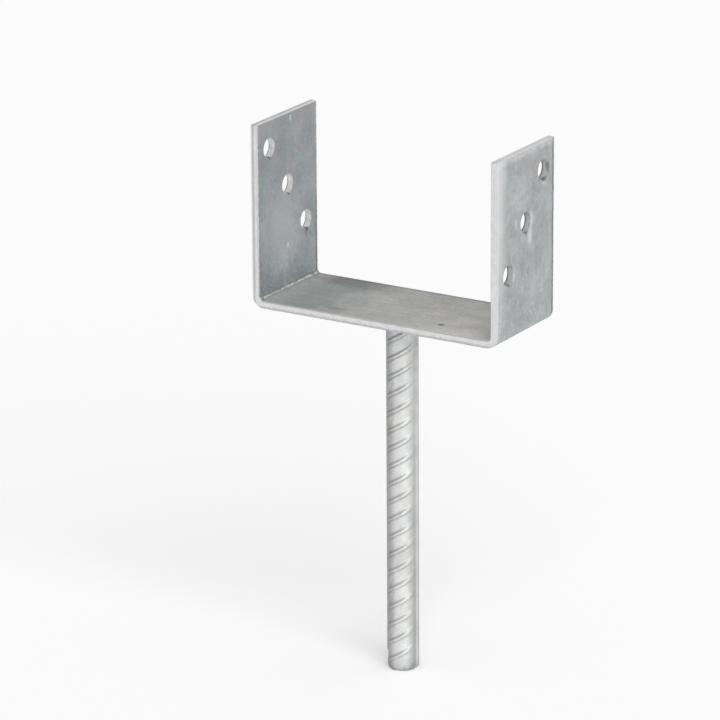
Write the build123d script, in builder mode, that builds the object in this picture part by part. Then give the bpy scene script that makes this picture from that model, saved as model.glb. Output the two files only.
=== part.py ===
from build123d import *
import math
import os

# Timber post base: a folded steel U that holds a square post, on a ribbed dowel that is cast into concrete.
# The origin is the middle of the seat, the upper face of the base, on the dowel's axis.
# X runs from cheek to cheek, Y along the width of the strip, and Z up.

# Folded bracket
post_width = 141.0  # clear width between the two cheeks
strip_width = 60.0  # width of the flat bar, the depth of the bracket
strip_thickness = 4.0
cheek_height = 100.0  # from the underside of the base to the top of a cheek
bend_radius = 2.5  # on the inside of each bend
rolled_edge_chamfer = 0.4  # eased edges, along both sides of the strip
sheared_edge_chamfer = 0.3  # dressed ends of the strip, at the tops of the cheeks

# Bolt holes, in a slanting row of three on each cheek
hole_diameter = 11.0
hole_top_margin = 15.0  # from the top of the cheek to the middle of the highest hole
hole_side_margin = 12.0  # from the strip's edge to the middle of an outer hole
hole_step = 24.0  # from one hole down to the next
hole_rim_chamfer = 0.3  # on the outside, where the punch went in

# Ribbed dowel, a length of reinforcing bar
dowel_length = 200.0  # below the underside of the base
core_diameter = 16.0
long_rib_height = 1.1
long_rib_width = 2.4
cross_rib_height = 1.15  # at the middle of a rib, from where it runs out to nothing
cross_rib_head = 1.3  # width across the head of a rib
cross_rib_foot = 2.5  # width where it meets the core
cross_rib_spacing = 10.0
cross_rib_slope = 0.62  # rise of a rib for each millimetre that it goes round
cross_rib_reach = 74.0  # degrees that a rib reaches round to each side of its row's middle
first_rib_depth = 1.2  # from the underside of the base to the middle of the first front rib
row_turn = 8.0  # degrees that the front row is turned from facing straight to the front
dowel_end_chamfer = 1.1
cropped_rib_length = 9.0  # missing from one long rib, where the shears cropped the bar

# Weld that joins the dowel to the base
weld_leg = 4.5  # along the base, outside the ribs
weld_drop = 5.5  # down the dowel

base_underside = -strip_thickness
cheek_top = base_underside + cheek_height
dowel_end = base_underside - dowel_length
core_radius = core_diameter / 2
long_rib_top = core_radius + long_rib_height
cross_rib_top = core_radius + cross_rib_height
weld_rim = long_rib_top + weld_leg
weld_toe = base_underside - weld_drop


# U bracket: one strip, folded up at both ends and punched
cheek_inside = post_width / 2
cheek_outside = cheek_inside + strip_thickness
hole_reach = strip_width / 2 - hole_side_margin

with BuildPart() as u_bracket:
    with BuildSketch(Plane.XZ):
        with BuildLine():
            fold = FilletPolyline(
                (-cheek_inside, cheek_top),
                (-cheek_inside, 0),
                (cheek_inside, 0),
                (cheek_inside, cheek_top),
                radius=bend_radius,
            )
            offset(fold, amount=strip_thickness, side=Side.RIGHT)
        make_face()
    extrude(amount=strip_width / 2, both=True)
    side_faces = u_bracket.faces().filter_by(Axis.Y)
    sheared_ends = u_bracket.faces().filter_by(Axis.Z).group_by(Axis.Z)[-1]
    rolled_edges = side_faces.edges().filter_by(lambda edge: edge not in sheared_ends.edges())
    chamfer(rolled_edges, length=rolled_edge_chamfer)
    sheared_ends = u_bracket.faces().filter_by(Axis.Z).group_by(Axis.Z)[-1]
    chamfer(sheared_ends.edges(), length=sheared_edge_chamfer)
    for side in (-1, 1):
        cheek_face = Plane(origin=(side * cheek_outside, 0, 0), x_dir=(0, side, 0), z_dir=(side, 0, 0))
        with BuildSketch(cheek_face):
            for row in (-1, 0, 1):
                with Locations((row * hole_reach, cheek_top - hole_top_margin - (1 - row) * hole_step)):
                    Circle(hole_diameter / 2)
        extrude(amount=-strip_thickness, mode=Mode.SUBTRACT)
    rims = u_bracket.edges().filter_by(GeomType.CIRCLE)
    rims = rims.filter_by(lambda rim: math.isclose(rim.radius, hole_diameter / 2))
    outer_rims = rims.filter_by(lambda rim: math.isclose(abs(rim.arc_center.X), cheek_outside))
    chamfer(outer_rims, length=hole_rim_chamfer)
u_bracket.part.label = "u_bracket"


# One slanting rib: a bar bent along a helix and trimmed to a crescent.
# The trimming cylinder stands off the axis, so that it meets the core where the rib runs out.
rib_lead = 2 * math.pi * core_radius * cross_rib_slope
rib_turn = 2 * (cross_rib_reach + 6)
rib_rise = rib_lead * rib_turn / 360
rib_root = -0.5 * cross_rib_height
rib_crown = 1.5 * cross_rib_height
crescent_shift = (cross_rib_top**2 - core_radius**2) / (
    2 * (cross_rib_top - core_radius * math.cos(math.radians(cross_rib_reach)))
)


def half_width(height):
    """Half of a rib's width at a height above the core."""
    return (cross_rib_foot - (cross_rib_foot - cross_rib_head) * height / cross_rib_height) / 2


with BuildPart() as slanting_rib:
    with BuildLine():
        rib_path = Helix(pitch=rib_lead, height=rib_rise, radius=core_radius)
    with BuildSketch(Plane(origin=rib_path @ 0, x_dir=(1, 0, 0), z_dir=rib_path % 0)):
        with BuildLine():
            Polyline(
                (rib_root, -half_width(rib_root)),
                (rib_crown, -half_width(rib_crown)),
                (rib_crown, half_width(rib_crown)),
                (rib_root, half_width(rib_root)),
                close=True,
            )
        make_face()
    sweep(path=rib_path, is_frenet=True)
    with Locations(Vector(crescent_shift, 0, 0).rotate(Axis.Z, rib_turn / 2)):
        Cylinder(cross_rib_top - crescent_shift, 4 * rib_rise, mode=Mode.INTERSECT)


# Ribbed dowel: the core, two long ribs, and a row of slanting ribs between them on each side.
# The rear row lies half a space lower than the front one. The ribs are melted away inside the weld.
rib_count = math.ceil(dowel_length / cross_rib_spacing) + 1
front_middle = -90 + row_turn
rib_places = []
for row, facing in enumerate((front_middle, front_middle + 180)):
    for rib in range(rib_count):
        depth = first_rib_depth + (rib + row / 2) * cross_rib_spacing
        lift = base_underside - depth - rib_rise / 2
        rib_places.append(Location((0, 0, lift), (0, 0, facing - rib_turn / 2)))

with BuildPart() as ribbed_dowel:
    with Locations((0, 0, dowel_end)):
        Cylinder(core_radius, dowel_length, align=(Align.CENTER, Align.CENTER, Align.MIN))
    for side, cropped in ((1, 0), (-1, cropped_rib_length)):
        with BuildSketch(Plane.XY.offset(base_underside).rotated((0, 0, row_turn))):
            with Locations((side * long_rib_top / 2, 0)):
                Rectangle(long_rib_top, long_rib_width)
        extrude(amount=-(dowel_length - cropped))
    with Locations(*rib_places):
        add(slanting_rib.part)
    with BuildSketch(Plane.XZ):
        with BuildLine():
            Polyline(
                (0, base_underside),
                (core_radius, base_underside),
                (core_radius, weld_toe),
                (2 * core_radius, weld_toe),
                (2 * core_radius, dowel_end + core_radius + dowel_end_chamfer),
                (core_radius - dowel_end_chamfer, dowel_end),
                (0, dowel_end),
                close=True,
            )
        make_face()
    revolve(axis=Axis.Z, mode=Mode.INTERSECT)
ribbed_dowel.part.label = "ribbed_dowel"


# Weld bead: a fillet run right round the dowel, against the underside of the base
with BuildPart() as weld_bead:
    with BuildSketch(Plane.XZ):
        with BuildLine():
            Polyline(
                (core_radius, base_underside),
                (weld_rim, base_underside),
                (long_rib_top, weld_toe),
                (core_radius, weld_toe),
                close=True,
            )
        make_face()
    revolve(axis=Axis.Z)
weld_bead.part.label = "weld_bead"


os.makedirs("parts", exist_ok=True)
export_step(u_bracket.part, "parts/u_bracket.step")
export_step(ribbed_dowel.part, "parts/ribbed_dowel.step")
export_step(weld_bead.part, "parts/weld_bead.step")
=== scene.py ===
"""Looks of the timber post base: a hot-dip galvanised U strip on a ribbed dowel, in a plain pale studio."""

import math

import bpy
from mathutils import Matrix, Vector


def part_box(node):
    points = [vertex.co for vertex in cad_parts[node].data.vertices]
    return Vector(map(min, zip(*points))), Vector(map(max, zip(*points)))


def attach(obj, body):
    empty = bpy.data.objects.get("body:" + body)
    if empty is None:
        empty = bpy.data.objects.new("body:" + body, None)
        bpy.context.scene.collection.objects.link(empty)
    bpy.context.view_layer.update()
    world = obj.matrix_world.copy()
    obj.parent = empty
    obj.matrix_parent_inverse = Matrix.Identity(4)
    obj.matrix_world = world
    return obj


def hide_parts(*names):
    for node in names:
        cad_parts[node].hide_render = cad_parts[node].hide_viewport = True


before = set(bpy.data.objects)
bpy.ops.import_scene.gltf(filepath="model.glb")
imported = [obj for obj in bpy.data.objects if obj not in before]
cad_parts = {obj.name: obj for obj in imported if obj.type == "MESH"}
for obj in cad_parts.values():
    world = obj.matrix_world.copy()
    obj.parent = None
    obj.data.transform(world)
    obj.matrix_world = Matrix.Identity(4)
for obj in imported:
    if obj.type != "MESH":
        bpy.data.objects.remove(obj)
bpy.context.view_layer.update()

MILLIMETRES = 1000  # in a metre
MERGE_DISTANCE = 0.001  # in millimetres: closer points become one
PICTURE_SIDE = 720  # pixels of the photograph, each way

strip_low, strip_high = (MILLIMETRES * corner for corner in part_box("u_bracket"))
dowel_low, dowel_high = (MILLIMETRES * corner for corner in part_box("ribbed_dowel"))
weld_low, weld_high = (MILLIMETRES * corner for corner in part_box("weld_bead"))


# Camera, at the photograph's viewpoint
CAMERA_PLACE = Vector((1.2234, -2.0561, 0.7518))
CAMERA_TURN = 31.29  # degrees to the right of straight in front
CAMERA_DIP = 18.09  # degrees down from level
CAMERA_ROLL = -0.34  # degrees
FOCAL_PIXELS = 4755  # focal length, in pixels of the photograph


def add_camera():
    data = bpy.data.cameras.new("studio_camera")
    data.sensor_width = 36.0
    data.lens = FOCAL_PIXELS / PICTURE_SIDE * data.sensor_width
    data.clip_start = 0.05
    data.clip_end = 60.0
    camera = bpy.data.objects.new("studio_camera", data)
    turn, dip, roll = (math.radians(angle) for angle in (CAMERA_TURN, CAMERA_DIP, CAMERA_ROLL))
    look = Matrix.Rotation(turn, 4, "Z") @ Matrix.Rotation(math.pi / 2 - dip, 4, "X")
    camera.matrix_world = Matrix.Translation(CAMERA_PLACE) @ look @ Matrix.Rotation(roll, 4, "Z")
    bpy.context.scene.collection.objects.link(camera)
    bpy.context.scene.camera = camera


# sockets of a Mix node: its share, what lies under and over, and the result
COLOUR_SOCKETS, COLOUR_RESULT = (0, 6, 7), 2
VALUE_SOCKETS, VALUE_RESULT = (0, 2, 3), 0


class Pattern:
    """The nodes of a material or of the sky. A share is a value from 0 to 1."""

    def __init__(self, tree):
        self.tree = tree

    def add(self, kind, inputs=None, **settings):
        node = self.tree.nodes.new("ShaderNode" + kind)
        for name, value in settings.items():
            setattr(node, name, value)
        for name, value in (inputs or {}).items():
            self.feed(node.inputs[name], value)
        return node

    def feed(self, socket, value):
        if isinstance(value, bpy.types.NodeSocket):
            self.tree.links.new(value, socket)
        else:
            socket.default_value = value

    def maths(self, operation, a, b=0.0):
        return self.add("Math", {0: a, 1: b}, operation=operation).outputs[0]

    def size_of(self, value):
        return self.maths("ABSOLUTE", value)

    def product(self, first, *others):
        """High only where all of these shares are."""
        total = first
        for share in others:
            total = self.maths("MULTIPLY", total, share)
        return total

    def highest(self, first, *others):
        top = first
        for share in others:
            top = self.maths("MAXIMUM", top, share)
        return top

    def vector(self, operation, a, b=(0, 0, 0)):
        node = self.add("VectorMath", {0: a, 1: b}, operation=operation)
        return node.outputs["Value" if operation in ("LENGTH", "DOT_PRODUCT") else "Vector"]

    def split(self, vector):
        node = self.add("SeparateXYZ", {0: vector})
        return node.outputs["X"], node.outputs["Y"], node.outputs["Z"]

    def rise(self, value, low, high):
        """0 below low, 1 above high and smooth between them. With low above high it falls instead."""
        limits = {"Value": value, "From Min": low, "From Max": high}
        return self.add("MapRange", limits, interpolation_type="SMOOTHSTEP").outputs["Result"]

    def near(self, value, edge, start, full):
        """1 nearer to an edge than full and 0 further in than start, or the reverse with full above start."""
        inward = -math.copysign(1, edge)
        return self.rise(value, edge + inward * start, edge + inward * full)

    def spread(self, share, low, high):
        """A share, spread over another range."""
        return self.add("MapRange", {"Value": share, "To Min": low, "To Max": high}).outputs["Result"]

    def blend(self, share, under, over):
        """Two patterns in one."""
        return self.add("Mix", dict(zip(VALUE_SOCKETS, (share, under, over)))).outputs[VALUE_RESULT]

    def ragged(self, value, pattern, reach):
        """A value that a pattern carries up and down by its reach."""
        return self.maths("ADD", value, self.spread(pattern, -reach, reach))


class Finish(Pattern):
    """A material under construction. Lengths in its patterns are millimetres on the object."""

    def __init__(self, name):
        self.material = bpy.data.materials.new(name)
        self.material.use_nodes = True
        super().__init__(self.material.node_tree)
        self.tree.nodes.clear()
        self.surface = self.add("BsdfPrincipled")
        self.add("OutputMaterial", {"Surface": self.surface.outputs["BSDF"]})
        coordinates = self.add("TexCoord")
        self.place = self.vector("MULTIPLY", coordinates.outputs["Object"], (MILLIMETRES,) * 3)
        self.facing = coordinates.outputs["Normal"]

    def mix(self, share, under, over, blend="MIX"):
        node = self.add("Mix", data_type="RGBA", blend_type=blend)
        for socket, value in zip(COLOUR_SOCKETS, (share, under, over)):
            if isinstance(value, tuple) and len(value) == 3:
                value = (*value, 1)
            self.feed(node.inputs[socket], value)
        return node.outputs[COLOUR_RESULT]

    def vary(self, colour, share, start, end):
        """A colour made lighter or darker all over: by start where a share is 0, and by end where it is 1."""
        strength = self.spread(share, start, end)
        grey = self.add("CombineXYZ", {"X": strength, "Y": strength, "Z": strength}).outputs[0]
        return self.mix(1.0, colour, grey, "MULTIPLY")

    def along(self, direction):
        """How far a place lies along a level direction, from the dowel's axis."""
        return self.vector("DOT_PRODUCT", self.place, (*direction, 0))

    def shifted(self, shift, stretch=(1, 1, 1)):
        """Places for a pattern of its own, drawn out along an axis where stretch is over 1."""
        inputs = {
            "Vector": self.place,
            "Location": (shift, shift, shift),
            "Scale": tuple(1 / longer for longer in stretch),
        }
        return self.add("Mapping", inputs).outputs[0]

    def cloud(self, size, detail=3.0, stretch=(1, 1, 1), rough=0.5, shift=0.0):
        """Soft patches of a size, from 0 to 1."""
        place = self.shifted(shift, stretch)
        inputs = {"Vector": place, "Scale": 1 / size, "Detail": detail, "Roughness": rough}
        return self.add("TexNoise", inputs).outputs["Fac"]

    def grains(self, size, shift):
        """Distance from the middle of the nearest grain, in grains."""
        return self.add("TexVoronoi", {"Vector": self.shifted(shift), "Scale": 1 / size}).outputs["Distance"]

    def patch(self, middle, reach, wobble):
        """1 over the inner quarter of an oval patch, falling to 0 at its reach, which wobbles."""
        away = self.vector("DIVIDE", self.vector("SUBTRACT", self.place, middle), reach)
        return self.rise(self.maths("ADD", self.vector("LENGTH", away), wobble), 1.0, 0.25)

    def crevice(self, depth):
        """How far a place is closed in, within a depth in millimetres: 0 in the open."""
        node = self.add("AmbientOcclusion", {"Distance": depth / MILLIMETRES}, samples=8)
        return self.maths("SUBTRACT", 1.0, node.outputs["AO"])

    def lumps(self, height, depth):
        """Relief of a depth in millimetres, from a pattern between 0 and 1."""
        bump = self.add("Bump", {"Height": height, "Strength": 1.0, "Distance": depth / MILLIMETRES})
        self.feed(self.surface.inputs["Normal"], bump.outputs["Normal"])

    def coat(self, colour, metallic, roughness):
        self.feed(self.surface.inputs["Base Color"], colour)
        self.feed(self.surface.inputs["Metallic"], metallic)
        self.feed(self.surface.inputs["Roughness"], roughness)


def give(node, material):
    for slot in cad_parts[node].material_slots:
        slot.material = material


# Zinc on the folded strip
STRIP_GREY = (0.355, 0.358, 0.372)
STRIP_BLUE_GREY = (0.325, 0.358, 0.372)
# the seat's greys are lighter than the inner faces' as painted light
SEAT_GREY = (0.58, 0.585, 0.57)
SEAT_BROWN_GREY = (0.605, 0.595, 0.57)
SEAT_RIGHT_GREY = (0.735, 0.725, 0.70)
SEAT_GREEN_GREY = (0.41, 0.445, 0.435)
# the outer faces' greys are lighter than the inner faces' as painted light
OUTSIDE_LIT_GREY = (0.438, 0.438, 0.446)
OUTSIDE_LIT_BLUE_GREY = (0.438, 0.456, 0.464)
EDGE_GREY = (0.80, 0.805, 0.80)
# painted shade for the low band and the eased corners of the edges
EDGE_SHADE_GREY = (0.60, 0.605, 0.60)
# hole walls: painted light, less of it on the right cheek
LIT_HOLE_GREY = (0.74, 0.74, 0.74)
SHADED_RIGHT_HOLE_GREY = (0.56, 0.565, 0.565)
# dark zinc, also used as painted shade
DARK_ZINC_AND_SHADE = (0.16, 0.165, 0.16)
# light zinc, also used as a painted highlight along the front edges
LIGHT_ZINC_AND_HIGHLIGHT = (0.78, 0.79, 0.79)
PALE_GREEN_GREY = (0.40, 0.44, 0.43)

seat_height = 0.0
strip_thickness = seat_height - strip_low.z
cheek_outside = strip_high.x
cheek_inside = cheek_outside - strip_thickness

# where zinc of another look starts and where it is full, in millimetres along X on the seat
SEAT_RIGHT_END = (5, 55)
SEAT_GREEN_END = (-8, -50)
SEAT_GREEN_FADE = (-50, -66)

# the same up the cheeks
BLUISH_FOOT = (45, 5)
FLECKED_FOOT = (42, 8)
DARK_BACK_FOOT = (48, 38)
PALE_FRONT_HEIGHT = (5, 60)
OVER_THE_BENDS = (8, 10)

# the same through the thickness of a cheek, from its inner face
OUTER_SKIN = (1.5, 3)
# painted shade at the far end of the right cheek's hole walls
DARK_RIGHT_HOLE_END = (1.1, 0.7)

# the same in from an edge of the strip
THICK_UNDER_TOP = (4.5, 2)
# the pale front is a painted highlight, and the dark backs are painted shade
PALE_FRONT = (12, 0)
DARK_CHEEK_BACK = (3.2, 1.2)
DARK_SEAT_BACK = (3.5, 1.5)
DARK_EASED_BACK = (2, 1)
BRIGHT_SIDE = (1.4, 0.4)
BRIGHT_TOP = (0.35, 0.2)
# painted shade along the low edges
SHADED_LOW_BAND = (1.8, 1.0)
DARK_LOW_CORNER = (0.7, 0.3)
# painted shade at the far end of the left cheek's hole walls
DARK_LEFT_HOLE_END = (1.1, 0.7)
CLEAR_OF_TOP = (1, 1.2)
CLEAR_OF_SIDE = (1.2, 1.4)

# the same for how squarely a face is turned towards an axis, from 0 to 1
SQUARE_ON = (0.6, 0.9)

ROLLED_LINE_PLACE = 1.5  # from the left outline, in the front edge of the strip

# single marks: middle, how far each reaches, and strength
GREEN_PATCH = ((-cheek_inside, -6, 14), (3, 15, 14), 0.7)
LIGHT_MARKS = {
    "fleck under the left top": ((-cheek_inside, 3.2, 92.5), (2, 1.3, 2.6), 0.8),
    "fleck low on the left": ((-cheek_inside, -0.5, 23.5), (2, 1.3, 2.2), 0.7),
    "pale zinc low on the left": ((-cheek_inside, -8, 30), (3, 30, 34), 0.22),
    "smear under the right top hole": ((cheek_outside, 18.5, 76.5), (2, 2.6, 5.5), 0.75),
    "smear beside the right middle hole": ((cheek_outside, 4.5, 58), (2, 4.5, 5.5), 0.6),
    "run under the right middle hole": ((cheek_outside, 4.0, 49), (2, 3.4, 7.5), 0.6),
    "smear beside the right low hole": ((cheek_outside, -13, 32), (2, 3.0, 6), 0.35),
    "speck before the right middle hole": ((cheek_outside, -10.5, 59), (2, 1.4, 4), 0.5),
}
# the marks in the holes and on the right top hole's lip are painted shade
DARK_MARKS_AND_SHADE = {
    "drip under the left low hole": ((-cheek_inside, 17.8, 26), (2, 1.4, 3.6), 0.4),
    "painted shade in the left top hole": ((-cheek_inside, -17.4, 75.7), (3.5, 1.5, 1.6), 0.95),
    "painted shade in the left middle hole": ((-cheek_inside, 0.8, 51.7), (3.5, 1.4, 1.4), 0.9),
    "painted shade in the left low hole": ((-cheek_inside, 18.8, 27.7), (3.5, 1.7, 2.4), 0.95),
    "painted shade in the right top hole": ((cheek_outside, 18.8, 75.8), (3.5, 3.5, 2.2), 0.85),
    "painted shade on the lip of the right top hole": ((cheek_outside, 23.4, 81), (2.5, 1.0, 5), 0.6),
    "painted shade in the right middle hole": ((cheek_outside, 0.4, 51.7), (3.5, 2.2, 1.5), 0.6),
    "painted shade in the right low hole": ((cheek_outside, -17.6, 27.7), (3.5, 2.2, 1.5), 0.6),
    "spot on the seat": ((33.9, -17.6, 0), (2.9, 2.0, 1), 0.95),
    "smudge on the seat": ((-28, -21, 0), (8, 3, 1), 0.35),
    "blemish on the right cheek": ((cheek_outside, -5, 35.6), (2, 1.2, 1.6), 0.4),
    "darker at the seat's left back": ((-42, 24, 0), (30, 13, 1), 0.5),
    "darker at the seat's right end": ((66, 2, 0), (6, 34, 1), 0.18),
}


class StripFinish(Finish):
    """Zinc on the folded strip. Most methods take a colour and give it back with more on it."""

    def __init__(self):
        super().__init__("galvanised_strip")
        self.x, self.y, self.z = self.split(self.place)
        self.nx, self.ny, self.nz = self.split(self.facing)
        self.clouds = self.cloud(14, detail=4.0)
        self.blotches = self.cloud(5, detail=5.0, rough=0.65, shift=15)
        self.mottle = self.cloud(2.2, rough=0.7, shift=40)
        self.upward = self.rise(self.nz, *SQUARE_ON)
        self.outside = self.rise(self.size_of(self.x), *(cheek_inside + depth for depth in OUTER_SKIN))
        self.ragged_y = self.ragged(self.y, self.blotches, 1.5)
        # where painted shade runs along the back edges: all the outer faces, and the inner ones low down
        dark_foot = self.rise(self.ragged(self.z, self.blotches, 4), *DARK_BACK_FOOT)
        self.dark_back = self.highest(self.outside, dark_foot)
        slant = self.size_of(self.ny)
        self.eased = self.product(self.rise(slant, 0.3, 0.5), self.rise(slant, 0.95, 0.85))

    def seat(self, bluish):
        """Brownish zinc, greener at the left end and paler at the right, in greys lighter than the cheeks'
        inner faces as painted light.
        """
        right_end = self.product(self.rise(self.x, *SEAT_RIGHT_END), 0.9)
        green_end = self.rise(self.ragged(self.x, self.clouds, 16), *SEAT_GREEN_END)
        green_end = self.product(green_end, self.spread(self.rise(self.x, *SEAT_GREEN_FADE), 1, 0.45))
        colour = self.mix(bluish, SEAT_BROWN_GREY, SEAT_GREY)
        colour = self.mix(right_end, colour, SEAT_RIGHT_GREY)
        return self.mix(green_end, colour, SEAT_GREEN_GREY)

    def plain_faces(self):
        """The cheeks inside and outside, and the seat; the outer faces and the seat take lighter greys than
        the inner faces, as painted light.
        """
        patches = self.cloud(11, detail=4.0, rough=0.6, shift=130)
        bluish = self.rise(patches, 0.40, 0.60)
        blue_share = self.highest(bluish, self.rise(self.ragged(self.z, self.clouds, 20), *BLUISH_FOOT))
        colour = self.mix(blue_share, STRIP_GREY, STRIP_BLUE_GREY)
        # painted light: the seat's lighter greys on the upward faces
        colour = self.mix(self.upward, colour, self.seat(bluish))
        colour = self.marked(colour, [GREEN_PATCH], PALE_GREEN_GREY, 0.5)
        # painted light: the outer faces lighter than the inner ones
        lit_outside_colour = self.mix(blue_share, OUTSIDE_LIT_GREY, OUTSIDE_LIT_BLUE_GREY)
        lit_outside_colour = self.vary(lit_outside_colour, patches, 0.82, 1.18)
        return self.mix(self.outside, colour, lit_outside_colour)

    def clouded(self, colour):
        """Patches of every size, runs down the cheeks, and lines drawn along the seat."""
        runs = self.cloud(3.0, detail=2.0, stretch=(1, 1, 7), shift=90)
        drawn = self.cloud(2.4, detail=2.0, stretch=(14, 1, 1), shift=20)
        colour = self.vary(colour, self.clouds, 0.84, 1.16)
        colour = self.mix(self.outside, colour, self.vary(colour, self.blotches, 0.72, 1.28))
        colour = self.vary(colour, self.mottle, 0.80, 1.20)
        colour = self.vary(colour, runs, 0.90, 1.10)
        return self.mix(self.upward, colour, self.vary(colour, drawn, 0.88, 1.12))

    def flecked(self, colour):
        """Flecks of thicker zinc, most of them low on the cheeks, and dark pits."""
        low = self.rise(self.ragged(self.z, self.clouds, 14), *FLECKED_FOOT)
        level = self.rise(self.size_of(self.nz), *SQUARE_ON)
        fleck = self.rise(self.cloud(1.7, detail=4.0, rough=0.75, shift=5), 0.54, 0.68)
        fleck = self.product(fleck, self.spread(low, 0.12, 0.45), self.spread(level, 1.0, 0.3))
        colour = self.mix(fleck, colour, LIGHT_ZINC_AND_HIGHLIGHT)
        pit = self.rise(self.ragged(self.grains(4.2, shift=60), self.mottle, 0.25), 0.10, 0.02)
        return self.mix(self.product(pit, 0.5), colour, DARK_ZINC_AND_SHADE)

    def thickened_and_shaded(self, colour):
        """Painted shade along the inside of the bends, with crazed light zinc there, and thick zinc outside
        along the tops of the cheeks.
        """
        bend = self.product(self.size_of(self.nx), self.nz)
        crazed = self.product(self.rise(bend, 0.38, 0.49), self.rise(self.mottle, 0.36, 0.58), 0.7)
        # painted shade: darker along the inside of the bends
        colour = self.vary(colour, self.rise(bend, 0.1, 0.3), 1.0, 0.7)
        colour = self.mix(crazed, colour, LIGHT_ZINC_AND_HIGHLIGHT)
        under_top = self.product(self.near(self.z, strip_high.z, *THICK_UNDER_TOP), self.outside)
        under_top = self.product(under_top, self.spread(self.blotches, 0.0, 0.7))
        return self.mix(under_top, colour, LIGHT_ZINC_AND_HIGHLIGHT)

    def marked(self, colour, marks, zinc, wander):
        """Single marks in the colour zinc, their outlines ragged by wander; some dark ones are painted shade.
        """
        wobble = self.spread(self.blotches, -wander, wander)
        for middle, reach, strength in marks:
            colour = self.mix(self.product(self.patch(middle, reach, wobble), strength), colour, zinc)
        return colour

    def rimmed(self, colour):
        """A painted highlight outside along the front edges, and painted shade in a dark line along the back
        ones.
        """
        # painted highlight along the front edges of the outer faces
        front = self.near(self.ragged_y, strip_low.y, *PALE_FRONT)
        low_to_high = self.spread(self.rise(self.z, *PALE_FRONT_HEIGHT), 0.3, 0.75)
        colour = self.mix(self.product(front, self.outside, low_to_high), colour, LIGHT_ZINC_AND_HIGHLIGHT)
        # painted shade along the back edges
        cheek_back = self.near(self.ragged_y, strip_high.y, *DARK_CHEEK_BACK)
        cheek_back = self.product(cheek_back, self.dark_back, self.spread(self.upward, 0.8, 0))
        seat_back = self.near(self.ragged_y, strip_high.y, *DARK_SEAT_BACK)
        seat_back = self.product(seat_back, self.upward, 0.5)
        return self.mix(self.highest(cheek_back, seat_back), colour, DARK_ZINC_AND_SHADE)

    def edge_zinc_and_shade(self):
        """Bright edges, with painted shade low down and on the eased corners, where it dims their highlight,
        and a rolled line up the left cheek.
        """
        from_left = self.ragged(self.maths("ADD", self.x, cheek_outside), self.mottle, 0.25)
        shaded_low_band = self.near(self.ragged(self.z, self.mottle, 1.2), strip_low.z, *SHADED_LOW_BAND)
        eased = self.product(self.eased, self.spread(self.outside, 1.0, 0.8), self.rise(from_left, 0.5, 1.0))
        from_line = self.size_of(self.maths("SUBTRACT", from_left, ROLLED_LINE_PLACE))
        rolled_line = self.product(self.rise(from_line, 0.9, 0.2), 0.5)
        low_corner = self.near(self.z, strip_low.z, *DARK_LOW_CORNER)
        low_corner = self.product(low_corner, self.rise(self.mottle, 0.5, 0.6), 0.6)
        colour = self.vary(EDGE_GREY, self.blotches, 0.78, 1.2)
        # painted shade low down and on the eased corners
        colour = self.mix(shaded_low_band, colour, EDGE_SHADE_GREY)
        colour = self.mix(eased, colour, EDGE_SHADE_GREY)
        colour = self.mix(rolled_line, colour, STRIP_GREY)
        return self.mix(low_corner, colour, DARK_ZINC_AND_SHADE)

    def edged(self, colour):
        """The strip's own edges, at the front and back and along the tops of the cheeks."""
        side = self.near(self.ragged(self.size_of(self.y), self.mottle, 0.8), strip_high.y, *BRIGHT_SIDE)
        top = self.near(self.z, strip_high.z, *BRIGHT_TOP)
        colour = self.mix(self.highest(side, top), colour, self.edge_zinc_and_shade())
        # painted shade on the eased corners along the back edges
        back = self.near(self.y, strip_high.y, *DARK_EASED_BACK)
        return self.mix(self.product(self.eased, back, self.dark_back, 0.75), colour, DARK_ZINC_AND_SHADE)

    def holed(self, colour):
        """Walls of the holes, painted lighter than the faces as painted light, less so on the right cheek,
        and with painted shade at the end that is further from the camera's viewpoint.
        """
        wall = self.product(
            self.rise(self.size_of(self.nx), 0.4, 0.3),
            self.rise(self.z, *OVER_THE_BENDS),
            self.near(self.z, strip_high.z, *CLEAR_OF_TOP),
            self.near(self.size_of(self.y), strip_high.y, *CLEAR_OF_SIDE),
        )
        on_right = self.rise(self.x, 0, 1)
        wall_colour = self.vary(self.mix(on_right, LIT_HOLE_GREY, SHADED_RIGHT_HOLE_GREY), self.mottle, 0.6, 1.4)
        colour = self.mix(wall, colour, wall_colour)
        # painted shade at the far end of each hole wall
        left_end = self.near(self.x, -cheek_outside, *DARK_LEFT_HOLE_END)
        right_end = self.rise(self.x, *(cheek_inside + depth for depth in DARK_RIGHT_HOLE_END))
        far_end_shade = self.highest(left_end, self.product(right_end, on_right))
        far_end_shade = self.product(far_end_shade, self.spread(self.outside, 0.7, 0.45))
        return self.mix(self.product(wall, far_end_shade), colour, DARK_ZINC_AND_SHADE)


def strip_finish():
    finish = StripFinish()
    colour = finish.plain_faces()
    colour = finish.clouded(colour)
    colour = finish.flecked(colour)
    colour = finish.thickened_and_shaded(colour)
    colour = finish.marked(colour, LIGHT_MARKS.values(), LIGHT_ZINC_AND_HIGHLIGHT, 0.55)
    colour = finish.rimmed(colour)
    colour = finish.edged(colour)
    colour = finish.holed(colour)
    colour = finish.marked(colour, DARK_MARKS_AND_SHADE.values(), DARK_ZINC_AND_SHADE, 0.55)
    rougher_seat = finish.product(finish.upward, 0.14)
    roughness = finish.maths("ADD", finish.spread(finish.clouds, 0.68, 0.52), rougher_seat)
    finish.coat(colour, metallic=0.75, roughness=roughness)
    finish.lumps(finish.blend(0.35, finish.cloud(5, shift=7), finish.mottle), depth=0.12)
    return finish.material


# Zinc on the ribbed bar
BAR_GREY = (0.80, 0.795, 0.785)
BAR_GREEN_GREY = (0.75, 0.775, 0.76)
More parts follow.
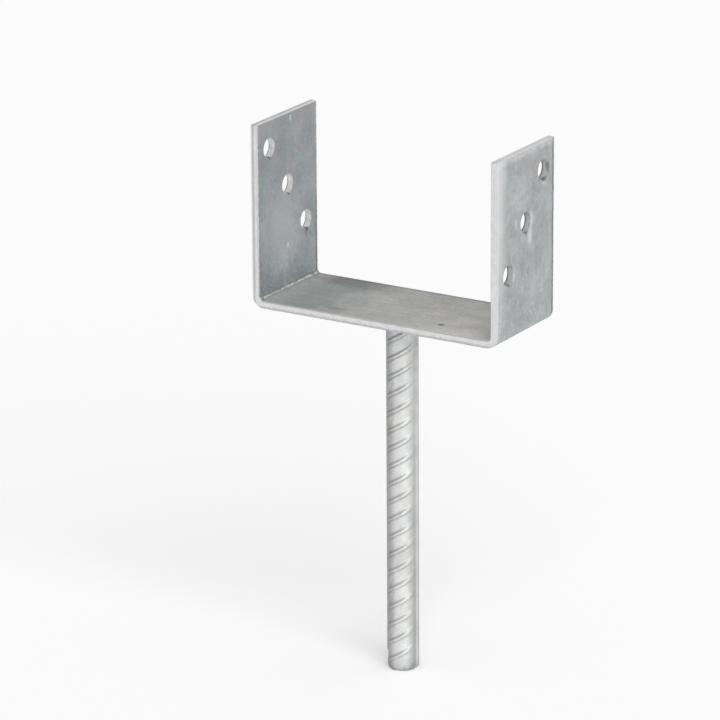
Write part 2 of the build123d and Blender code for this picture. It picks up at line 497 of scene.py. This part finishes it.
# painted shade on the bar
BAR_SHADE_GREY = (0.29, 0.30, 0.295)
BAR_SHINE = (0.35, 0.35, 0.35, 1)  # of what it mirrors at a grazing angle
LONG_RIB_TURN = 8.0  # degrees from the X axis, as the part has it
LONG_RIB_WIDTH = 2.4
BAR_LEFT = (-0.75, -0.66)  # level direction: to the left in the photograph, and a little forwards

# where painted shade starts and where it is full, in millimetres from the axis towards the bar's left
RIGHT_TO_LEFT = (-5, 7)
LEFT_FLANK = (4.6, 8.2)
LEFT_SPOTS = (2.5, 5.5)
RIGHT_FLANK = (1.2, -5.6)
RIGHT_RIB = (-5.1, -6.0)

# where a look starts and where it is full, in millimetres up from the bar's lower end
ABOVE_THE_END = (1.5, 3)
CROPPED_END = (9, 1)


class BarFinish(Finish):
    """Zinc on the ribbed bar."""

    def __init__(self):
        super().__init__("galvanised_bar")
        self.z = self.split(self.place)[2]
        self.nz = self.split(self.facing)[2]
        self.clouds = self.cloud(9, detail=4.0, stretch=(1, 1, 1.6))
        self.blotches = self.cloud(4, detail=4.0, rough=0.6, shift=15)
        self.mottle = self.cloud(2.0, rough=0.65, shift=40)
        self.high_up = self.rise(self.z, dowel_low.z, dowel_high.z)
        self.leftward = self.along(BAR_LEFT)
        turn = math.radians(LONG_RIB_TURN)
        off_the_ribs = self.size_of(self.along((-math.sin(turn), math.cos(turn))))
        self.long_rib = self.rise(off_the_ribs, LONG_RIB_WIDTH * 0.8, LONG_RIB_WIDTH * 0.5)

    def plain(self):
        colour = self.mix(self.rise(self.blotches, 0.35, 0.65), BAR_GREY, BAR_GREEN_GREY)
        colour = self.vary(colour, self.clouds, 0.78, 1.22)
        return self.vary(colour, self.mottle, 0.86, 1.14)

    def darkened(self, colour):
        """Painted shade down both sides and under the ribs, and darker at the cropped end."""
        right_side = self.product(
            self.rise(self.leftward, *RIGHT_FLANK),
            self.spread(self.long_rib, 1.0, 0.0),
            self.spread(self.high_up, 1.0, 0.45),
        )
        under_ribs = self.product(
            self.rise(self.nz, -0.1, -0.4),
            self.near(self.z, dowel_low.z, *ABOVE_THE_END),
            self.spread(self.high_up, 0.45, 1.0),
        )
        cropped_end = self.product(
            self.near(self.ragged(self.z, self.blotches, 5), dowel_low.z, *CROPPED_END),
            self.spread(self.mottle, 0.4, 1.6),
        )
        # painted shade, except at the cropped end
        darker_places = (
            (self.rise(self.leftward, *LEFT_FLANK), 0.67),
            (self.rise(self.leftward, *RIGHT_RIB), 0.78),
            (right_side, 0.62),
            (under_ribs, 0.72),
            (cropped_end, 0.78),
        )
        for share, strength in darker_places:
            colour = self.vary(colour, share, 1.0, strength)
        return colour

    def painted_shade(self):
        """Share of painted shade: at the feet of the ribs, in spots on the left, and on the ribs' upper
        sides.
        """
        leftness = self.rise(self.leftward, *RIGHT_TO_LEFT)
        closed_in = self.rise(self.crevice(4.0), 0.03, 0.6)
        feet = self.product(
            closed_in,
            self.spread(self.high_up, 0.3, 0.45),
            self.spread(self.long_rib, 1.0, 0.5),
            self.spread(self.cloud(7, detail=2.0, shift=70), 0.4, 1.6),
            self.spread(leftness, 0.45, 1.1),
        )
        spots = self.product(
            self.rise(closed_in, 0.35, 0.9),
            self.rise(self.leftward, *LEFT_SPOTS),
            self.rise(self.cloud(6, detail=2.0, shift=210), 0.46, 0.60),
            0.85,
        )
        upper_sides = self.product(
            self.rise(self.nz, 0.15, 0.45),
            self.spread(leftness, 0.42, 0.12),
            self.rise(self.z, dowel_high.z, dowel_high.z - 1),
        )
        return self.highest(feet, spots, upper_sides)


def bar_finish():
    finish = BarFinish()
    colour = finish.mix(finish.painted_shade(), finish.darkened(finish.plain()), BAR_SHADE_GREY)
    finish.coat(colour, metallic=0.85, roughness=finish.spread(finish.clouds, 0.66, 0.5))
    finish.surface.inputs["Specular Tint"].default_value = BAR_SHINE
    finish.lumps(finish.mottle, depth=0.08)
    return finish.material


# Ribbed bar with the zinc run into the feet of its ribs, in place of the sharp one. Lengths in millimetres.
ZINC_GRID = 0.45
ZINC_SOFTENING = 3  # rounds of smoothing


def model_bar():
    """A copy of the bar, its ribs rounded and their feet filled."""
    bar = bpy.data.objects.new("rolled_bar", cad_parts["ribbed_dowel"].data.copy())
    bpy.context.scene.collection.objects.link(bar)
    bpy.ops.object.select_all(action="DESELECT")
    bar.select_set(True)
    bpy.context.view_layer.objects.active = bar
    bpy.ops.object.mode_set(mode="EDIT")
    bpy.ops.mesh.select_all(action="SELECT")
    bpy.ops.mesh.remove_doubles(threshold=MERGE_DISTANCE / MILLIMETRES)
    bpy.ops.object.mode_set(mode="OBJECT")
    grid = bar.modifiers.new("zinc_grid", "REMESH")
    grid.mode = "VOXEL"
    grid.voxel_size = ZINC_GRID / MILLIMETRES
    bpy.ops.object.modifier_apply(modifier=grid.name)
    soften = bar.modifiers.new("soften", "SMOOTH")
    soften.factor = 0.5
    soften.iterations = ZINC_SOFTENING
    bpy.ops.object.modifier_apply(modifier=soften.name)
    bpy.ops.object.shade_smooth()
    bar.data.materials.clear()
    bar.data.materials.append(bar_finish())
    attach(bar, "root")
    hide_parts("ribbed_dowel")


# Zinc on the weld
WELD_GREY = (0.56, 0.57, 0.565)


def weld_finish():
    finish = Finish("galvanised_weld")
    clouds = finish.cloud(6)
    mottle = finish.cloud(1.6, rough=0.65, shift=40)
    colour = finish.vary(WELD_GREY, clouds, 0.8, 1.2)
    colour = finish.vary(colour, mottle, 0.78, 1.22)
    # painted shade: darker in the bead's hollows
    scale = finish.product(finish.rise(finish.crevice(1.2), 0.12, 0.5), 0.7)
    colour = finish.mix(scale, colour, DARK_ZINC_AND_SHADE)
    finish.coat(colour, metallic=0.7, roughness=finish.spread(clouds, 0.62, 0.45))
    finish.lumps(mottle, depth=0.1)
    return finish.material


# Weld bead with its ripples, in place of the plain fillet. Lengths in millimetres.
WELD_RIPPLES = 34
STEPS_PER_RIPPLE = 3
RIPPLE_SWELL = 0.35
RIPPLE_CURL = 5.0  # degrees that the middle of a ripple runs ahead of its ends
WELD_BACK = 7.7  # from the dowel's axis to the back of the bead, melted into the core
WELD_TOE = 9.1  # from the axis to the bead's toe, on the ribs
WELD_CROWN = 0.45  # that the face of the bead swells over a straight fillet
WELD_CLEAR = 0.7  # that a choice of points keeps off those that it leaves out


def select_points(piece, chosen):
    """In edit mode, selects the points that a test on x, y and z in millimetres chooses."""
    bpy.ops.mesh.select_all(action="DESELECT")
    bpy.ops.object.mode_set(mode="OBJECT")
    for vertex in piece.data.vertices:
        vertex.select = bool(chosen(*(MILLIMETRES * vertex.co)))
    bpy.ops.object.mode_set(mode="EDIT")


def move_selected(x, z):
    bpy.ops.transform.translate(value=(x / MILLIMETRES, 0, z / MILLIMETRES))


def between_ends(z):
    """Whether a height is clear of the weld's lower and upper ends."""
    return weld_low.z + WELD_CLEAR < z < weld_high.z - WELD_CLEAR


def add_weld_section():
    """The outline of the fillet, standing in the XZ plane at the dowel's right, as a wire in edit mode."""
    middle = (weld_low.z + weld_high.z) / 2
    leg = weld_high.z - weld_low.z
    place = ((WELD_BACK + leg / 2) / MILLIMETRES, 0, middle / MILLIMETRES)
    bpy.ops.object.select_all(action="DESELECT")
    bpy.ops.mesh.primitive_plane_add(size=leg / MILLIMETRES, location=place, rotation=(math.pi / 2, 0, 0))
    bead = bpy.context.object
    bead.name = "rippled_weld"
    bpy.ops.object.transform_apply(location=True, rotation=True, scale=True)
    bpy.ops.object.mode_set(mode="EDIT")
    bpy.ops.mesh.select_mode(type="VERT")
    bpy.ops.mesh.select_all(action="SELECT")
    bpy.ops.mesh.delete(type="ONLY_FACE")
    square_front = WELD_BACK + leg
    select_points(bead, lambda x, y, z: x > square_front - WELD_CLEAR and z > middle)
    move_selected(weld_high.x - RIPPLE_SWELL - square_front, 0)
    select_points(bead, lambda x, y, z: x > WELD_BACK + WELD_CLEAR and z < middle)
    move_selected(WELD_TOE - square_front, 0)
    bpy.ops.mesh.select_all(action="SELECT")
    bpy.ops.mesh.subdivide(number_cuts=2)

    # swell the face between the toe and the rim
    select_points(bead, lambda x, y, z: x > WELD_BACK + WELD_CLEAR and between_ends(z))
    move_selected(WELD_CROWN, -WELD_CROWN)
    return bead


def model_weld():
    """The section spun round the dowel, with its rings swollen in turn."""
    bead = add_weld_section()
    bpy.ops.mesh.select_all(action="SELECT")
    steps = WELD_RIPPLES * STEPS_PER_RIPPLE
    bpy.ops.mesh.spin(steps=steps, angle=2 * math.pi, center=(0, 0, 0), axis=(0, 0, 1), use_auto_merge=True)
    bpy.ops.mesh.select_all(action="SELECT")
    bpy.ops.mesh.remove_doubles(threshold=MERGE_DISTANCE / MILLIMETRES)

    # one ring of each ripple stands out
    def on_crest(x, y, z):
        ring = round(math.atan2(y, x) / (2 * math.pi) * steps)
        return ring % STEPS_PER_RIPPLE == 0 and math.hypot(x, y) > WELD_BACK + WELD_CLEAR

    select_points(bead, on_crest)
    swell = 1 + RIPPLE_SWELL / (weld_high.x - RIPPLE_SWELL)
    bpy.ops.transform.resize(value=(swell, swell, 1), center_override=(0, 0, 0))

    # the crests are curled, as the bead was laid
    select_points(bead, lambda x, y, z: math.hypot(x, y) > WELD_TOE + WELD_CLEAR and between_ends(z))
    bpy.ops.transform.rotate(
        value=math.radians(RIPPLE_CURL), orient_axis="Z", orient_type="GLOBAL", center_override=(0, 0, 0)
    )
    bpy.ops.mesh.select_all(action="SELECT")
    bpy.ops.mesh.normals_make_consistent(inside=False)
    bpy.ops.object.mode_set(mode="OBJECT")
    soften = bead.modifiers.new("soften", "SUBSURF")
    soften.levels = soften.render_levels = 2
    bpy.ops.object.modifier_apply(modifier=soften.name)
    bpy.ops.object.shade_smooth()
    bead.data.materials.append(weld_finish())
    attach(bead, "root")
    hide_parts("weld_bead")


# Floor, light and background
LAMP_STRENGTH = 1.65
LAMP_TURN = 50  # degrees to the right of straight in front
LAMP_HEIGHT = 36  # degrees up
LAMP_SOFTNESS = 50  # degrees across its disc
LAMP_DISTANCE = 3.0  # in metres
FLOOR_SIDE = 14.0  # in metres
FLOOR_WHITE = (0.93, 0.93, 0.93, 1)
FLOOR_GLOW = 0.17  # towards the camera, mirrors and glass alone
SKY_LEFT, SKY_RIGHT, SKY_TOP = 0.42, 0.9, 0.5
SKY_FADE = (0.1, 0.95)  # sines of the angles up, between which the sides turn into the top
WHITE = (1, 1, 1, 1)


def seen_directly(paint):
    """1 for rays from the camera and for mirrored or passed ones, 0 for light that falls on the object."""
    path = paint.add("LightPath")
    rays = ("Is Camera Ray", "Is Glossy Ray", "Is Transmission Ray")
    return paint.highest(*(path.outputs[ray] for ray in rays))


def add_floor():
    bpy.ops.object.select_all(action="DESELECT")
    bpy.ops.mesh.primitive_plane_add(size=FLOOR_SIDE, location=(0, 0, dowel_low.z / MILLIMETRES))
    floor = bpy.context.object
    floor.name = "studio_floor"
    bpy.ops.object.transform_apply(location=True, rotation=True, scale=True)
    paint = Finish("studio_floor_paint")
    paint.coat(FLOOR_WHITE, metallic=0.0, roughness=0.9)
    paint.surface.inputs["Specular IOR Level"].default_value = 0.0
    paint.surface.inputs["Emission Color"].default_value = WHITE
    glow = paint.product(seen_directly(paint), FLOOR_GLOW)
    paint.feed(paint.surface.inputs["Emission Strength"], glow)
    floor.data.materials.append(paint.material)


def add_sky():
    """Brighter on the right, where the studio is open, and darker overhead."""
    world = bpy.data.worlds.new("studio_sky")
    bpy.context.scene.world = world
    world.use_nodes = True
    sky = Pattern(world.node_tree)
    direction = sky.add("TexCoord").outputs["Generated"]
    turn = math.radians(CAMERA_TURN)
    rightward = sky.vector("DOT_PRODUCT", direction, (math.cos(turn), math.sin(turn), 0))
    limits = {"Value": rightward, "From Min": -1, "From Max": 1, "To Min": SKY_LEFT, "To Max": SKY_RIGHT}
    sides = sky.add("MapRange", limits).outputs["Result"]
    fade = sky.rise(sky.split(direction)[2], *SKY_FADE)
    background = world.node_tree.nodes["Background"]
    sky.feed(background.inputs["Color"], WHITE)
    sky.feed(background.inputs["Strength"], sky.spread(fade, sides, SKY_TOP))


def add_lamp():
    """One large soft lamp, far off to the right of the camera, so that it lights the whole floor alike."""
    data = bpy.data.lights.new("softbox", "SUN")
    data.energy = LAMP_STRENGTH
    data.angle = math.radians(LAMP_SOFTNESS)
    lamp = bpy.data.objects.new("softbox", data)
    turn, height = math.radians(LAMP_TURN), math.radians(LAMP_HEIGHT)
    level = math.cos(height)
    towards = Vector((math.sin(turn) * level, -math.cos(turn) * level, math.sin(height)))
    lamp.location = LAMP_DISTANCE * towards
    lamp.rotation_euler = (-towards).to_track_quat("-Z", "Y").to_euler()
    bpy.context.scene.collection.objects.link(lamp)


add_camera()
give("u_bracket", strip_finish())
model_bar()
model_weld()
add_floor()
add_sky()
add_lamp()
bpy.context.scene.view_settings.view_transform = "Standard"
